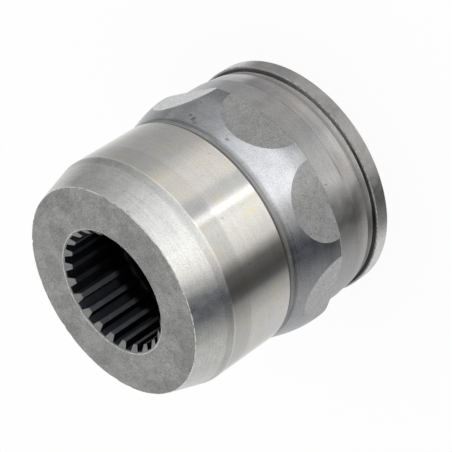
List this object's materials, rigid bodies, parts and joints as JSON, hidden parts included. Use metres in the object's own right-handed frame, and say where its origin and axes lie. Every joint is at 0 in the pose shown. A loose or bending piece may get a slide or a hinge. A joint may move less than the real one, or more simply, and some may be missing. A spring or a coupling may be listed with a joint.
{
  "type": "drive shaft coupler",
  "caption": "Slip-on drive shaft coupler: splined socket in a seal-journal nose, milled flats round the crest, and a fixed ball joint inside the boot end.",
  "frame": {"origin": "centre of the boot-side face, on which the part stands", "axes": "+Z along the shaft axis towards the splined nose, +X through the middle of a milled flat and along the joint's tilt axis"},
  "size_m": [0.0724, 0.0724, 0.0733],
  "materials": {
    "housing_steel": "turned and ground steel, satin",
    "race_steel": "ground steel",
    "cage_steel": "hardened steel, dark satin",
    "ball_steel": "polished bearing steel",
    "ring_wire": "blued spring wire",
    "plug_sheet": "zinc-plated sheet steel",
    "oring_rubber": "black rubber"
  },
  "bodies": {
    "housing": {"coupler_housing": "housing_steel", "core_plug": "plug_sheet", "hub_retaining_ring": "ring_wire", "hub_oring": "oring_rubber"},
    "cage": {"ball_cage": "cage_steel", "ball_1": "ball_steel", "ball_2": "ball_steel", "ball_3": "ball_steel", "ball_4": "ball_steel", "ball_5": "ball_steel", "ball_6": "ball_steel", "ball_7": "ball_steel", "ball_8": "ball_steel"},
    "race": {"inner_race": "race_steel", "shaft_circlip": "ring_wire"}
  },
  "joints": [
    {"name": "cage_tilt", "type": "hinge", "parent": "housing", "child": "cage", "pos_m": [0, 0, 0.0213], "axis": [1, 0, 0], "range_deg": [-10, 10]},
    {"name": "race_tilt", "type": "hinge", "parent": "cage", "child": "race", "pos_m": [0, 0, 0.0213], "axis": [1, 0, 0], "range_deg": [-10, 10]}
  ],
  "couplings": [
    {"joint": "race_tilt", "follows": "cage_tilt", "ratio": 1}
  ]
}
